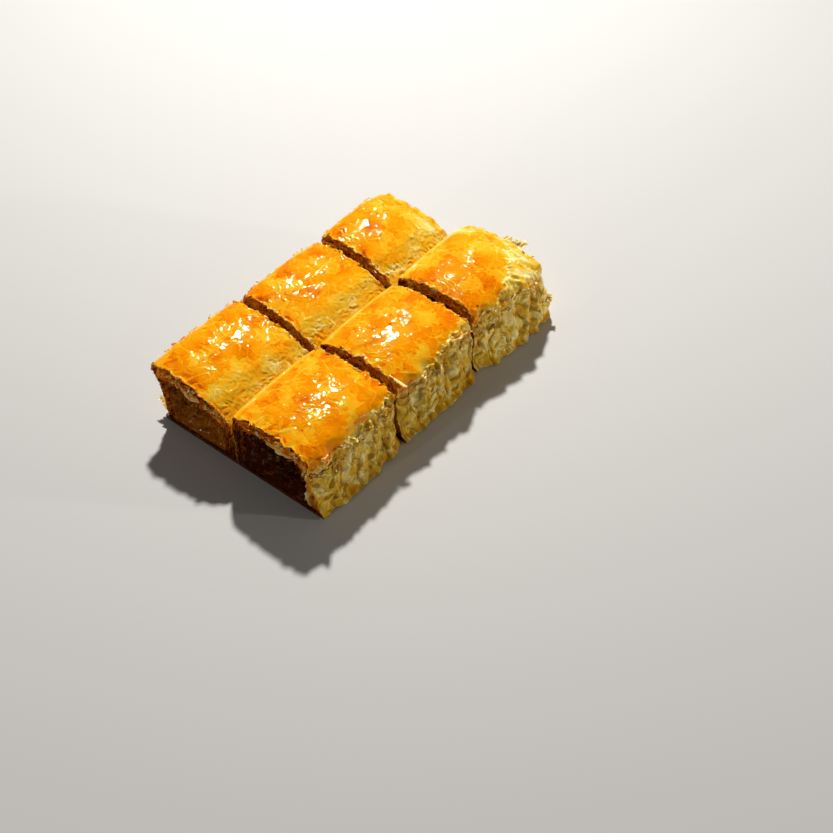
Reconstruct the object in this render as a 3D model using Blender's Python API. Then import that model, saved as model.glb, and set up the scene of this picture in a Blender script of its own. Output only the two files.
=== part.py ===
"""Block of six baklava pieces, as it is lifted out of the tray.

Two flattened rolls of filo lie side by side, and two cuts across both divide them into
three rows. Each piece is a filo wrapper round a core of ground walnuts, which shows at
the cuts. The last row keeps the closed tails of the rolls.

Metres, +Z up. +X runs along the rolls, away from the free cut face, and +Y across them,
from the right roll to the left one. The origin is the middle of the block's footprint,
on the surface that the block rests on.
"""

import math
from dataclasses import dataclass

import bmesh
import bpy
import numpy as np

MM = 0.001

# Driving dimensions
ROLL_WIDTH = 38.0 * MM
ROLL_HEIGHT = 31.0 * MM
SEAM_GAP = 0.5 * MM  # between the two rolls
FIRST_CUT = 44.5 * MM  # from the free cut face
SECOND_CUT = 89.8 * MM
LEFT_TAIL = 133.5 * MM  # where each roll ends
RIGHT_TAIL = 138.5 * MM

# A cut closes at the base and opens at the crust
CUT_HALF_GAP_BASE = 0.35 * MM
CUT_HALF_GAP_CRUST = 2.5 * MM
CUT_CURVE = 1.6  # how fast a cut opens with height

# The wrapper's walls round the filling
WALL_SIDE = 5.0 * MM
WALL_TOP = 5.2 * MM
WALL_BASE = 3.0 * MM
TAIL_WALL = 9.0 * MM
FILLING_CLEARANCE = 0.35 * MM

# Form of the top and sides
END_SAG = 0.055  # share of the height that the crust drops towards a cut
END_PINCH = 0.045  # share of the width that the side draws in at a cut, under the crust
CRUST_RELIEF = 0.45 * MM
CRUST_WAVE = 10.0 * MM
PLEAT_RELIEF = 0.6 * MM
PLEAT_WAVE = 7.5 * MM
PLEAT_STRETCH = 0.22  # pleats run down the side, so they change slowly with height
EDGE_RAGGEDNESS = 0.35 * MM
EDGE_WAVE = 5.0 * MM

# Steps of the flaky layers on a cut face, from the outer edge to the filling:
# share of the way in, and how far the layer stands out of the face
CUT_STEPS = ((0.0, 0.0), (0.24, -0.75 * MM), (0.58, 0.55 * MM), (1.0, -0.3 * MM))
FILLING_STEPS = ((1.0, -1.0 * MM), (0.66, -0.4 * MM), (0.3, -0.7 * MM))
FILLING_RELIEF = 0.5 * MM
FILLING_WAVE = 6.0 * MM

# The closed tail rounds off over its top and its two sides, and its end face domes
TAIL_ROUNDING = 6.5 * MM
TAIL_TOP_INWARD = 7.5 * MM
TAIL_SIDE_INWARD = 4.5 * MM
TAIL_TURNS = (25.0, 50.0, 72.0, 90.0)  # degrees round the edge
TAIL_FACE_RINGS = (0.78, 0.5, 0.22)  # share of the end face that a ring takes in
TAIL_DOME = 1.2 * MM
TAIL_RELIEF = 0.7 * MM

CHORDS_ALONG = 15

# Cross-sections: share of the width from the seam, share of the height, and the chords
# from this point to the next
RIGHT_SECTION = (
    (0.03, 0.00, 1),
    (0.00, 0.07, 2),
    (0.00, 0.74, 2),
    (0.05, 0.90, 3),
    (0.28, 0.985, 3),
    (0.54, 1.00, 3),
    (0.80, 0.965, 3),
    (0.96, 0.86, 3),
    (1.00, 0.66, 3),
    (1.03, 0.34, 3),
    (1.045, 0.10, 2),
    (1.02, 0.00, 3),
)
LEFT_SECTION = (
    (0.03, 0.00, 1),
    (0.00, 0.07, 2),
    (0.00, 0.58, 2),
    (0.06, 0.72, 3),
    (0.28, 0.89, 3),
    (0.52, 0.975, 3),
    (0.78, 1.00, 3),
    (0.965, 0.965, 3),
    (1.015, 0.84, 3),
    (0.985, 0.48, 3),
    (0.94, 0.13, 2),
    (0.91, 0.00, 3),
)

FILO_COLOUR = (0.86, 0.42, 0.06)
FILO_ROUGHNESS = 0.25
WALNUT_COLOUR = (0.17, 0.075, 0.03)
WALNUT_ROUGHNESS = 0.5


@dataclass
class Piece:
    """One piece of a roll. start and end are the cuts, or the free face and the tail."""

    roll: str
    row: str
    start: float
    end: float
    height: float
    seed: int
    flare: float = 0.0  # how far the foot of the outer wall spreads towards the tail
    droop: float = 0.0  # share of the height that the tail's outer corner drops

    @property
    def free_start(self):
        return self.row == "front"

    @property
    def closed_end(self):
        return self.row == "back"

    @property
    def middle(self):
        return (self.start + self.end) / 2.0


PIECES = (
    Piece("left", "front", 0.0, FIRST_CUT, ROLL_HEIGHT * 0.99, 11),
    Piece("left", "middle", FIRST_CUT, SECOND_CUT, ROLL_HEIGHT * 0.97, 12),
    Piece("left", "back", SECOND_CUT, LEFT_TAIL, ROLL_HEIGHT * 0.98, 13),
    Piece("right", "front", 0.0, FIRST_CUT, ROLL_HEIGHT, 14),
    Piece("right", "middle", FIRST_CUT, SECOND_CUT, ROLL_HEIGHT * 0.98, 15, flare=1.0 * MM),
    Piece(
        "right", "back", SECOND_CUT, RIGHT_TAIL, ROLL_HEIGHT * 1.01, 16,
        flare=6.5 * MM, droop=0.08,
    ),
)


@dataclass
class Leaf:
    """A torn leaf of filo that stands out of a piece, in millimetres.

    root is the middle of its rooted edge: along the roll from the free cut face, outward
    from the seam, and up. along is the direction of that edge, and out the way it points.
    """

    roll: str
    row: str
    root: tuple
    along: tuple
    out: tuple
    length: float
    reach: float
    curl: float
    seed: int


LEAVES = (
    # Tuft at the far top corner of the right roll
    Leaf("right", "back", (133.0, 26.0, 26.5), (-0.2, 1.0, 0.0), (0.8, -0.1, 0.6), 6.5, 6.5, 1.0, 31),
    Leaf("right", "back", (131.0, 30.0, 24.3), (0.2, 1.0, -0.2), (0.7, 0.3, 0.7), 5.5, 6.5, -0.8, 32),
    Leaf("right", "back", (133.5, 20.0, 26.0), (0.0, 1.0, 0.1), (0.9, -0.1, 0.4), 6.5, 4.8, 0.6, 33),
    # Ragged lip at its far edge, beside the seam
    Leaf("right", "back", (127.5, 6.5, 25.5), (0.4, 1.0, 0.2), (0.9, -0.3, 0.5), 7.0, 6.0, 0.6, 34),
    Leaf("right", "back", (129.5, 12.0, 27.0), (0.1, 1.0, 0.0), (0.8, 0.0, 0.6), 6.5, 5.0, 0.8, 35),
    # Flake low on its far outer corner
    Leaf("right", "back", (132.0, 40.0, 9.0), (0.7, -0.5, 0.4), (0.5, 0.85, 0.1), 5.0, 6.0, 0.5, 36),
    # Leaves that peel off its outer wall
    Leaf("right", "back", (101.0, 38.0, 15.0), (1.0, 0.1, 0.5), (0.0, 0.9, 0.4), 9.0, 3.6, -0.8, 37),
    Leaf("right", "back", (117.0, 38.5, 21.0), (1.0, 0.1, 0.2), (0.0, 0.8, 0.5), 9.0, 3.6, -0.8, 38),
    # The middle piece's corner at the first cut, and the top of its outer wall
    Leaf("right", "middle", (48.5, 35.0, 26.0), (0.1, 1.0, -0.3), (-0.7, 0.2, 0.6), 8.0, 2.8, 0.4, 39),
    Leaf("right", "middle", (81.0, 37.0, 23.5), (1.0, 0.1, -0.1), (0.1, 0.8, 0.5), 10.0, 3.4, -0.7, 40),
    Leaf("right", "middle", (62.0, 38.0, 12.0), (1.0, 0.0, 0.7), (-0.1, 0.9, 0.3), 9.0, 3.0, -0.5, 41),
    # Curled leaves at the front piece's top outer corner
    Leaf("right", "front", (6.5, 34.0, 22.6), (1.0, 0.05, 0.0), (-0.1, 0.85, 0.45), 9.0, 5.6, -0.6, 42),
    Leaf("right", "front", (12.0, 36.8, 18.3), (1.0, 0.1, 0.25), (-0.1, 0.9, 0.3), 10.0, 2.8, -0.6, 43),
    # Torn ridge across the right roll's free face, and the flange of its outer wall
    Leaf("right", "front", (1.2, 21.0, 25.2), (0.0, 1.0, -0.04), (-1.0, 0.0, -0.2), 21.0, 3.2, 0.3, 44),
    Leaf("right", "front", (1.2, 35.0, 13.0), (0.1, -0.06, 1.0), (-0.9, -0.5, 0.0), 18.0, 3.4, 0.5, 45),
    # Flaky shelf across the left roll's free face, and the flap at its foot
    Leaf("left", "front", (1.2, 18.5, 24.2), (0.0, 1.0, 0.34), (-1.0, 0.0, -0.2), 19.0, 3.2, 0.3, 46),
    Leaf("left", "front", (4.5, 34.0, 6.0), (1.0, 0.3, 0.2), (-0.2, 1.0, 0.1), 9.0, 8.2, 0.8, 47),
)
LEAF_THICKNESS = 0.9 * MM
LEAF_CHORDS = 6
# The outline of a leaf across its thickness, from its root out to its torn edge and back:
# share of the reach, and share of the thickness from its middle
LEAF_OUTLINE = ((0.0, 0.5), (0.6, 0.4), (1.0, 0.0), (0.6, -0.4), (0.0, -0.5))
LEAF_TEAR = 0.18  # share of the reach that the torn edge wanders
LEAF_TEAR_WAVE = 0.9  # share of the length


def smoothstep(low, high, value):
    """0 below low, 1 above high, and a smooth rise between them."""
    share = np.clip((value - low) / (high - low), 0.0, 1.0)
    return share * share * (3.0 - 2.0 * share)


def ripple(points, wavelength, seed, waves=14):
    """A smooth random field of about this wavelength: plane waves in random directions."""
    draw = np.random.default_rng(seed)
    directions = draw.normal(size=(waves, points.shape[-1]))
    directions /= np.linalg.norm(directions, axis=1, keepdims=True)
    pace = 2.0 * math.pi / wavelength * draw.uniform(0.7, 1.3, size=(waves, 1))
    phase = draw.uniform(0.0, 2.0 * math.pi, size=waves)
    return np.sin(points @ (directions * pace).T + phase).sum(-1) * math.sqrt(2.0 / waves)


def closed_curve(section):
    """Points of a Catmull-Rom curve through a closed section, as shares of its size."""
    knots = np.array([row[:2] for row in section])
    points = []
    for i, (_, _, chords) in enumerate(section):
        before, here, after, beyond = (knots[(i + k) % len(knots)] for k in (-1, 0, 1, 2))
        for t in np.arange(chords) / chords:
            points.append(
                here
                + 0.5 * t * (after - before)
                + 0.5 * t**2 * (2.0 * before - 5.0 * here + 4.0 * after - beyond)
                + 0.5 * t**3 * (3.0 * here - before - 3.0 * after + beyond)
            )
    return np.maximum(np.array(points), 0.0)


def outward_normals(across, height):
    """Unit normals of a closed section that runs round from its base at the seam."""
    ahead = np.stack([np.roll(across, -1, -1), np.roll(height, -1, -1)], -1)
    behind = np.stack([np.roll(across, 1, -1), np.roll(height, 1, -1)], -1)
    run = ahead - behind
    normals = np.stack([-run[..., 1], run[..., 0]], -1)
    return normals / np.linalg.norm(normals, axis=-1, keepdims=True)


def cut_half_gap(height_share):
    """Half the width of a cut at this height."""
    opening = CUT_HALF_GAP_CRUST - CUT_HALF_GAP_BASE
    return CUT_HALF_GAP_BASE + opening * height_share**CUT_CURVE


def start_face(piece, height_share):
    """Where along the roll the piece starts at this height, from the piece's middle."""
    gap = 0.0 if piece.free_start else cut_half_gap(height_share)
    return (piece.start - piece.end) / 2.0 + gap


def end_face(piece, height_share):
    """Where along the roll the piece's full section ends at this height."""
    back = TAIL_ROUNDING + TAIL_DOME if piece.closed_end else cut_half_gap(height_share)
    return (piece.end - piece.start) / 2.0 - back


def end_height(piece, along, across_share, height_share):
    """Share of the height that is left, as the crust drops towards the ends."""
    to_end = np.abs(2.0 * along - 1.0) ** 3
    outer_far = smoothstep(0.5, 1.0, along) * smoothstep(0.25, 1.0, across_share)
    return 1.0 - END_SAG * to_end * height_share - piece.droop * outer_far


def skin(piece, section, along):
    """The outer surface: one ring of points for each share of the way along the piece."""
    across_share, height_share = section[None, :, 0], section[None, :, 1]
    along = along[:, None]
    start, end = start_face(piece, height_share), end_face(piece, height_share)
    x = start + (end - start) * along
    under_crust = 1.0 - smoothstep(0.7, 0.95, height_share)
    pinch = 1.0 - END_PINCH * np.abs(2.0 * along - 1.0) ** 4 * under_crust
    bulge = smoothstep(0.0, 0.8, along) * smoothstep(0.55, 1.0, across_share)
    bulge = bulge * (0.55 + 0.45 * smoothstep(0.0, 0.3, height_share))
    y = ROLL_WIDTH * across_share * pinch
    y = y + piece.flare * bulge * (1.0 - 0.9 * height_share**1.5)
    z = piece.height * height_share * end_height(piece, along, across_share, height_share)

    on_top = smoothstep(0.03, 0.16, across_share) * smoothstep(0.7, 0.9, height_share)
    relief = CRUST_RELIEF * on_top * ripple(np.stack([x, y], -1), CRUST_WAVE, piece.seed)
    on_side = smoothstep(0.86, 0.98, across_share) * (1.0 - smoothstep(0.8, 0.95, height_share))
    down_side = np.stack([x, z * PLEAT_STRETCH], -1)
    pleats = PLEAT_RELIEF * on_side * ripple(down_side, PLEAT_WAVE, piece.seed + 50)
    normals = outward_normals(y, z)
    y = y + normals[..., 0] * relief + pleats
    z = np.maximum(z + normals[..., 1] * relief, 0.0)

    ragged = EDGE_RAGGEDNESS * ripple(np.stack([y, z], -1), EDGE_WAVE, piece.seed + 100)
    ragged = ragged * height_share
    if not piece.closed_end:
        x = x + ragged * along**8
    x = x - ragged * (1.0 - along) ** 8
    return np.stack([x, y, z], -1)


def tunnel(piece, section, x, clearance):
    """The ring round the filling at x. clearance draws it in from the wrapper's wall."""
    side, base = WALL_SIDE + clearance, WALL_BASE + clearance
    top = WALL_TOP + END_SAG * piece.height + clearance
    y = side + section[:, 0] * (ROLL_WIDTH - 2.0 * side)
    z = base + section[:, 1] * (piece.height - base - top)
    return np.stack([np.full_like(y, x), y, z], -1)


def stepped_face(piece, edge, hole, face, outward):
    """Rings from the outer edge to the hole on a cut face, with the filo layers as steps."""
    rings = []
    for share, stand_out in CUT_STEPS[1:]:
        ring = edge + (hole - edge) * share
        height_share = ring[:, 2] / piece.height
        rough = ripple(ring[:, 1:], EDGE_WAVE, piece.seed + 150) * EDGE_RAGGEDNESS
        ring[:, 0] = face(piece, np.clip(height_share, 0.0, 1.0))
        ring[:, 0] += outward * (stand_out + rough) * height_share
        rings.append(ring)
    return rings


def tail_rings(piece, ring):
    """Rings that round off the tail after its last full section and close its end face."""
    low, high = ring.min(0), ring.max(0)
    middle, half = (low[1] + high[1]) / 2.0, (high[1] - low[1]) / 2.0
    rings = []
    for turn in np.radians(TAIL_TURNS):
        inward = 1.0 - math.cos(turn)
        drawn = ring.copy()
        drawn[:, 0] += TAIL_ROUNDING * math.sin(turn)
        drawn[:, 1] = middle + (ring[:, 1] - middle) * (1.0 - TAIL_SIDE_INWARD * inward / half)
        drawn[:, 2] = ring[:, 2] * (1.0 - TAIL_TOP_INWARD * inward / high[2])
        rings.append(drawn)
    edge = rings[-1]
    centre = np.array([0.0, middle, edge[:, 2].max() / 2.0])
    for share in TAIL_FACE_RINGS:
        drawn = edge + (centre - edge) * (1.0 - share)
        folds = ripple(drawn[:, 1:] * (1.0, PLEAT_STRETCH), PLEAT_WAVE, piece.seed + 250)
        drawn[:, 0] = edge[:, 0] + TAIL_DOME * (1.0 - share**2)
        drawn[:, 0] += TAIL_RELIEF * (1.0 - share) * folds
        rings.append(drawn)
    return rings, rings[-1].mean(0)


def add_loft(bm, rings, tips=()):
    """Joins rings of equally many points. Without tips the last ring joins the first."""
    made = [[bm.verts.new(point) for point in ring] for ring in rings]
    pairs = list(zip(made, made[1:]))
    if not tips:
        pairs.append((made[-1], made[0]))
    count = len(made[0])
    for ring, following in pairs:
        for i in range(count):
            j = (i + 1) % count
            bm.faces.new((ring[i], ring[j], following[j], following[i]))
    for tip, ring in zip(tips, (made[0], made[-1])):
        point = bm.verts.new(tip)
        for i in range(count):
            bm.faces.new((ring[i], ring[(i + 1) % count], point))
    bmesh.ops.recalc_face_normals(bm, faces=bm.faces)


def wrapper_mesh(piece, section, mirror):
    """The filo wrapper: its skin, its stepped cut faces, and the tunnel for the filling."""
    rings = list(skin(piece, section, np.linspace(0.0, 1.0, CHORDS_ALONG + 1)))
    start_hole = tunnel(piece, section, 0.0, 0.0)
    start_face_rings = stepped_face(piece, rings[0], start_hole, start_face, -1.0)
    bm = bmesh.new()
    if piece.closed_end:
        closing, tip = tail_rings(piece, rings[-1])
        bottom = tunnel(piece, section, (piece.end - piece.start) / 2.0 - TAIL_WALL, 0.0)
        outside = closing[::-1] + rings[::-1] + start_face_rings
        rings, tips = outside + [bottom], (tip, bottom.mean(0))
    else:
        end_hole = tunnel(piece, section, 0.0, 0.0)
        end_face_rings = stepped_face(piece, rings[-1], end_hole, end_face, 1.0)
        rings, tips = rings + end_face_rings + start_face_rings[::-1], ()
    add_loft(bm, [ring * mirror for ring in rings], [tip * mirror for tip in tips])
    return bm


def filling_end(piece, section, face, outward):
    """Rings of the filling's rough end, from its edge in to its middle."""
    edge = tunnel(piece, section, 0.0, FILLING_CLEARANCE)
    middle = edge.mean(0)
    rings = []
    for share, stand_out in FILLING_STEPS:
        ring = middle + (edge - middle) * share
        rough = FILLING_RELIEF * ripple(ring[:, 1:], FILLING_WAVE, piece.seed + 200)
        ring[:, 0] = face(piece, ring[:, 2] / piece.height)
        ring[:, 0] += outward * (stand_out + rough * (1.0 - share))
        rings.append(ring)
    middle[0] = face(piece, middle[2] / piece.height) + outward * FILLING_STEPS[-1][1]
    return rings, middle


def filling_mesh(piece, section, mirror):
    """The walnut core, which runs through the piece or ends short of the closed tail."""
    start_rings, start_tip = filling_end(piece, section, start_face, -1.0)
    if piece.closed_end:
        last = (piece.end - piece.start) / 2.0 - TAIL_WALL - FILLING_CLEARANCE
        end_rings = [tunnel(piece, section, last, FILLING_CLEARANCE)]
        end_tip = end_rings[0].mean(0)
    else:
        end_rings, end_tip = filling_end(piece, section, end_face, 1.0)
    rings = start_rings[::-1] + end_rings
    bm = bmesh.new()
    add_loft(bm, [ring * mirror for ring in rings], [start_tip * mirror, end_tip * mirror])
    return bm


def leaf_mesh(leaf, piece, mirror):
    """A thin curled leaf with a torn edge, in the local frame of its piece."""
    along = np.array(leaf.along) / np.linalg.norm(leaf.along)
    out = np.array(leaf.out) / np.linalg.norm(leaf.out)
    up = np.cross(out, along)
    up /= np.linalg.norm(up)
    root = np.array(leaf.root) * MM - (piece.middle, 0.0, 0.0)
    share = np.linspace(0.04, 0.96, LEAF_CHORDS + 1)
    torn = 1.0 + LEAF_TEAR * ripple(share[:, None], LEAF_TEAR_WAVE, leaf.seed)
    reach = leaf.reach * MM * np.clip(torn, 0.45, 1.3) * np.sin(math.pi * share) ** 0.35
    rings = []
    for s, r in zip(share, reach):
        middle = root + along * (s - 0.5) * leaf.length * MM
        ring = []
        for way_out, side in LEAF_OUTLINE:
            lift = side * LEAF_THICKNESS + leaf.curl * MM * way_out**2
            ring.append(middle + out * r * way_out + up * lift)
        rings.append(np.array(ring) * mirror)
    bm = bmesh.new()
    add_loft(bm, rings, [rings[0].mean(0), rings[-1].mean(0)])
    return bm


def fuse(obj, leaves):
    """Joins the leaves to the object's mesh and removes them."""
    collection = bpy.data.collections.new("leaves")
    bpy.context.scene.collection.children.link(collection)
    for leaf in leaves:
        bpy.context.scene.collection.objects.unlink(leaf)
        collection.objects.link(leaf)
    join = obj.modifiers.new("leaves", "BOOLEAN")
    join.operation = "UNION"
    join.operand_type = "COLLECTION"
    join.collection = collection
    join.solver = "MANIFOLD"
    graph = bpy.context.evaluated_depsgraph_get()
    joined = bpy.data.meshes.new_from_object(obj.evaluated_get(graph))
    obj.modifiers.clear()
    obj.data = joined
    for leaf in leaves:
        bpy.data.objects.remove(leaf)
    bpy.data.collections.remove(collection)


def add_object(name, bm, material, parent, location):
    """Makes a named object of the mesh and hangs it on its parent."""
    mesh = bpy.data.meshes.new(name)
    bm.to_mesh(mesh)
    bm.free()
    mesh.materials.append(material)
    mesh.shade_smooth()
    mesh.set_sharp_from_angle(angle=math.radians(50.0))
    obj = bpy.data.objects.new(name, mesh)
    bpy.context.scene.collection.objects.link(obj)
    obj.parent = parent
    obj.location = location
    return obj


def add_empty(name, parent, location):
    """An empty that places what hangs on it."""
    empty = bpy.data.objects.new(name, None)
    bpy.context.scene.collection.objects.link(empty)
    empty.parent = parent
    empty.location = location
    return empty


def make_material(name, colour, roughness):
    """A plain Principled material."""
    material = bpy.data.materials.new(name)
    material.use_nodes = True
    shader = material.node_tree.nodes["Principled BSDF"]
    shader.inputs["Base Color"].default_value = (*colour, 1.0)
    shader.inputs["Roughness"].default_value = roughness
    shader.inputs["Metallic"].default_value = 0.0
    return material


def centre_footprint(root, solids):
    """Moves the root so that the footprint's middle is at the origin."""
    bpy.context.view_layer.update()
    corners = np.array(
        [obj.matrix_world @ vertex.co for obj in solids for vertex in obj.data.vertices]
    )
    middle = (corners.min(0) + corners.max(0)) / 2.0
    root.location = (-middle[0], -middle[1], 0.0)


def build():
    """Builds the whole block."""
    for obj in list(bpy.data.objects):
        bpy.data.objects.remove(obj)
    filo = make_material("filo", FILO_COLOUR, FILO_ROUGHNESS)
    walnut = make_material("walnut_filling", WALNUT_COLOUR, WALNUT_ROUGHNESS)
    sections = {"left": closed_curve(LEFT_SECTION), "right": closed_curve(RIGHT_SECTION)}
    sides = {"left": 1.0, "right": -1.0}

    block = add_empty("baklava_block", None, (0.0, 0.0, 0.0))
    rolls = {
        name: add_empty(f"roll_{name}", block, (0.0, side * SEAM_GAP / 2.0, 0.0))
        for name, side in sides.items()
    }
    solids = []
    for piece in PIECES:
        section = sections[piece.roll]
        mirror = np.array([1.0, sides[piece.roll], 1.0])
        place = (rolls[piece.roll], (piece.middle, 0.0, 0.0))
        label = f"{piece.roll}_{piece.row}"
        pastry = add_object(f"pastry_{label}", wrapper_mesh(piece, section, mirror), filo, *place)
        leaves = [
            add_object(f"leaf_{leaf.seed}", leaf_mesh(leaf, piece, mirror), filo, *place)
            for leaf in LEAVES
            if (leaf.roll, leaf.row) == (piece.roll, piece.row)
        ]
        if leaves:
            fuse(pastry, leaves)
        solids.append(pastry)
        add_object(f"filling_{label}", filling_mesh(piece, section, mirror), walnut, *place)
    centre_footprint(block, solids)


build()
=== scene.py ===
# %% [markdown]
# # A block of baklava
#
# Two flattened rolls of filo lie side by side, and two cuts across them leave six squares
# that still hold together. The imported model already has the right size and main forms.
# This notebook dresses it: it rebuilds every square with fine relief, paints where the oven
# browned it and where the syrup lies, and lights it the way the photograph was lit.
#
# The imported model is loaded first, as a frame that nothing here may move.

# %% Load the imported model
import math
from dataclasses import dataclass

import bpy
import numpy as np
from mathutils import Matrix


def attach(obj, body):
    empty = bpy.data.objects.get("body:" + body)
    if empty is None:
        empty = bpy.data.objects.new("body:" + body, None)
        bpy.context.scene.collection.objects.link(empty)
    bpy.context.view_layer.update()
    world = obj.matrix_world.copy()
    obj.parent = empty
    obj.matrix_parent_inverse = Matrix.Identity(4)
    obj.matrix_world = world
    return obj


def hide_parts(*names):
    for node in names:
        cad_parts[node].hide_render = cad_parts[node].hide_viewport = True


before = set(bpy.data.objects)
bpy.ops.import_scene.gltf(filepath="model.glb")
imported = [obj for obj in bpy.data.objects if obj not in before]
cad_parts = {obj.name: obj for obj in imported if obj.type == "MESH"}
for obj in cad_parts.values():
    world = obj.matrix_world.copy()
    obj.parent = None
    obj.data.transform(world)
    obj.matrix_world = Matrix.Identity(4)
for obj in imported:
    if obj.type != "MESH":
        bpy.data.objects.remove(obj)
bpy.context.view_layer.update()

MM = 0.001
print("packed pieces:", sorted(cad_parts))

# %% [markdown]
# ## The camera
#
# The camera could be placed by eye. Here its place was worked out once from level lines in
# the photograph that meet at right angles, which give its tilt, its height and how long its
# lens is. It looks down at 47 degrees, at the corner between the free cut and the outer side.

# %% Place the camera
camera = bpy.data.objects.new("camera", bpy.data.cameras.new("camera"))
bpy.context.scene.collection.objects.link(camera)
camera.location = (-0.2442, -0.2172, 0.322)
camera.rotation_euler = (math.radians(90 - 47.4), 0, math.radians(-52))
camera.data.lens = 50.72
camera.data.sensor_width = 36
camera.data.clip_start = 0.01
bpy.context.scene.camera = camera
print("camera looks at azimuth -52, elevation 47.4, lens", camera.data.lens)

# %% [markdown]
# ## The main measures
#
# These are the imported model's own values, so each new piece lands on the solid that it
# stands for. A section is one closed curve round a roll: across is the share of the width
# from the seam, and up is the share of the height. The right roll is a full arch, and the
# left one slumps towards the seam.

# %% Measures of the block
ROLL_WIDTH, ROLL_HEIGHT, SEAM_GAP = 38 * MM, 31 * MM, 0.5 * MM
FIRST_CUT, SECOND_CUT, LEFT_TAIL, RIGHT_TAIL = 44.5 * MM, 89.8 * MM, 133.5 * MM, 138.5 * MM
ROOT = np.array([-68.676, 1.07, 0]) * MM  # the block's corner, from the middle of its foot
CUT_HALF_GAP_BASE, CUT_HALF_GAP_CRUST, CUT_CURVE = 0.35 * MM, 2.5 * MM, 1.6
WALL_SIDE, WALL_TOP, WALL_BASE, TAIL_WALL = 5 * MM, 5.2 * MM, 3 * MM, 9 * MM
FILLING_CLEARANCE = 0.06 * MM
END_SAG, END_PINCH = 0.055, 0.045
CRUST_RELIEF, CRUST_WAVE = 0.45 * MM, 10 * MM
PLEAT_RELIEF, PLEAT_WAVE, PLEAT_STRETCH = 0.6 * MM, 7.5 * MM, 0.22
EDGE_RAGGEDNESS, EDGE_WAVE = 0.35 * MM, 5 * MM
TAIL_ROUNDING, TAIL_DOME, TAIL_RELIEF = 6.5 * MM, 1.2 * MM, 0.7 * MM
TAIL_TOP_INWARD, TAIL_SIDE_INWARD = 7.5 * MM, 4.5 * MM

SECTIONS = {
    "right": (
        (0.03, 0.00, 1), (0.00, 0.07, 2), (0.00, 0.74, 2), (0.05, 0.90, 3),
        (0.28, 0.985, 3), (0.54, 1.00, 3), (0.80, 0.965, 3), (0.96, 0.86, 3),
        (1.00, 0.66, 3), (1.03, 0.34, 3), (1.045, 0.10, 2), (1.02, 0.00, 3),
    ),
    "left": (
        (0.03, 0.00, 1), (0.00, 0.07, 2), (0.00, 0.58, 2), (0.06, 0.72, 3),
        (0.28, 0.89, 3), (0.52, 0.975, 3), (0.78, 1.00, 3), (0.965, 0.965, 3),
        (1.015, 0.84, 3), (0.985, 0.48, 3), (0.94, 0.13, 2), (0.91, 0.00, 3),
    ),
}


@dataclass
class Piece:
    """One square of a roll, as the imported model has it."""

    roll: str
    row: str
    start: float
    end: float
    height: float
    seed: int
    bare: float = 0.5  # chords by which the crust ends short of the shoulder, at the far end
    flare: float = 0
    droop: float = 0

    @property
    def free_start(self):
        return self.row == "front"

    @property
    def closed_end(self):
        return self.row == "back"

    @property
    def middle(self):
        return (self.start + self.end) / 2

    @property
    def place(self):
        """Where the piece's own zero is in the block, and the way across its roll."""
        side = 1 if self.roll == "left" else -1
        return ROOT + (self.middle, side * SEAM_GAP / 2, 0), np.array([1, side, 1])


PIECES = (
    Piece("left", "front", 0, FIRST_CUT, ROLL_HEIGHT * 0.99, 11),
    Piece("left", "middle", FIRST_CUT, SECOND_CUT, ROLL_HEIGHT * 0.97, 12),
    Piece("left", "back", SECOND_CUT, LEFT_TAIL, ROLL_HEIGHT * 0.98, 13),
    Piece("right", "front", 0, FIRST_CUT, ROLL_HEIGHT, 14, 2.2),
    Piece("right", "middle", FIRST_CUT, SECOND_CUT, ROLL_HEIGHT * 0.98, 15, 3.8, MM),
    Piece("right", "back", SECOND_CUT, RIGHT_TAIL, ROLL_HEIGHT * 1.01, 16, 7.5, 6.5 * MM, 0.08),
)
# Dark specks: how far along the block, in mm, and how far round, in chords
SPECKS = {
    ("right", "front"): ((24, 22.3), (18, 12)),
    ("right", "middle"): ((66, 10),),
    ("right", "back"): ((108, 11), (96, 16)),
}
print(len(PIECES), "squares of", ROLL_WIDTH / MM, "by", round(FIRST_CUT / MM, 1), "mm")

# %% [markdown]
# ## Random forms that repeat
#
# Baked pastry is irregular, but each run has to give the same block. A sum of plane waves in
# seeded random directions does both. Read as a height it gives soft swellings. Its zero lines
# wander in long closed curves, just as the edges of blisters and the wrinkles of a paper-thin
# sheet do, so the distance to the nearest zero line gives crisp wrinkles of any width.

# %% Smooth random fields


def smoothstep(low, high, value):
    """0 below low, 1 above high, and a smooth rise between them."""
    share = np.clip((value - low) / (high - low), 0, 1)
    return share * share * (3 - 2 * share)


def falls(low, high, value):
    """1 below low, 0 above high, and a smooth fall between them."""
    return 1 - smoothstep(low, high, value)


def bell(away, width):
    """1 where away is 0, and next to nothing beyond twice the width."""
    return np.exp(-((away / width) ** 2))


def plane_waves(size, wavelength, seed, count):
    """The wave vectors and phases of a random field."""
    draw = np.random.default_rng(seed)
    directions = draw.normal(size=(count, size))
    directions /= np.linalg.norm(directions, axis=1, keepdims=True)
    pace = 2 * math.pi / wavelength * draw.uniform(0.7, 1.3, size=(count, 1))
    return directions * pace, draw.uniform(0, 2 * math.pi, size=count)


def ripple(points, wavelength, seed, count=14):
    """A smooth random height, mostly between -2 and 2."""
    vectors, phase = plane_waves(points.shape[-1], wavelength, seed, count)
    return np.sin(points @ vectors.T + phase).sum(-1) * math.sqrt(2 / count)


def line_distance(points, wavelength, seed, count=14):
    """The signed distance, in metres, to the nearest zero line of such a field."""
    vectors, phase = plane_waves(points.shape[-1], wavelength, seed, count)
    turns = points @ vectors.T + phase
    slope = np.linalg.norm(np.cos(turns) @ vectors, axis=-1)
    return np.sin(turns).sum(-1) / (slope + 0.25 * np.median(slope))


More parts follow.
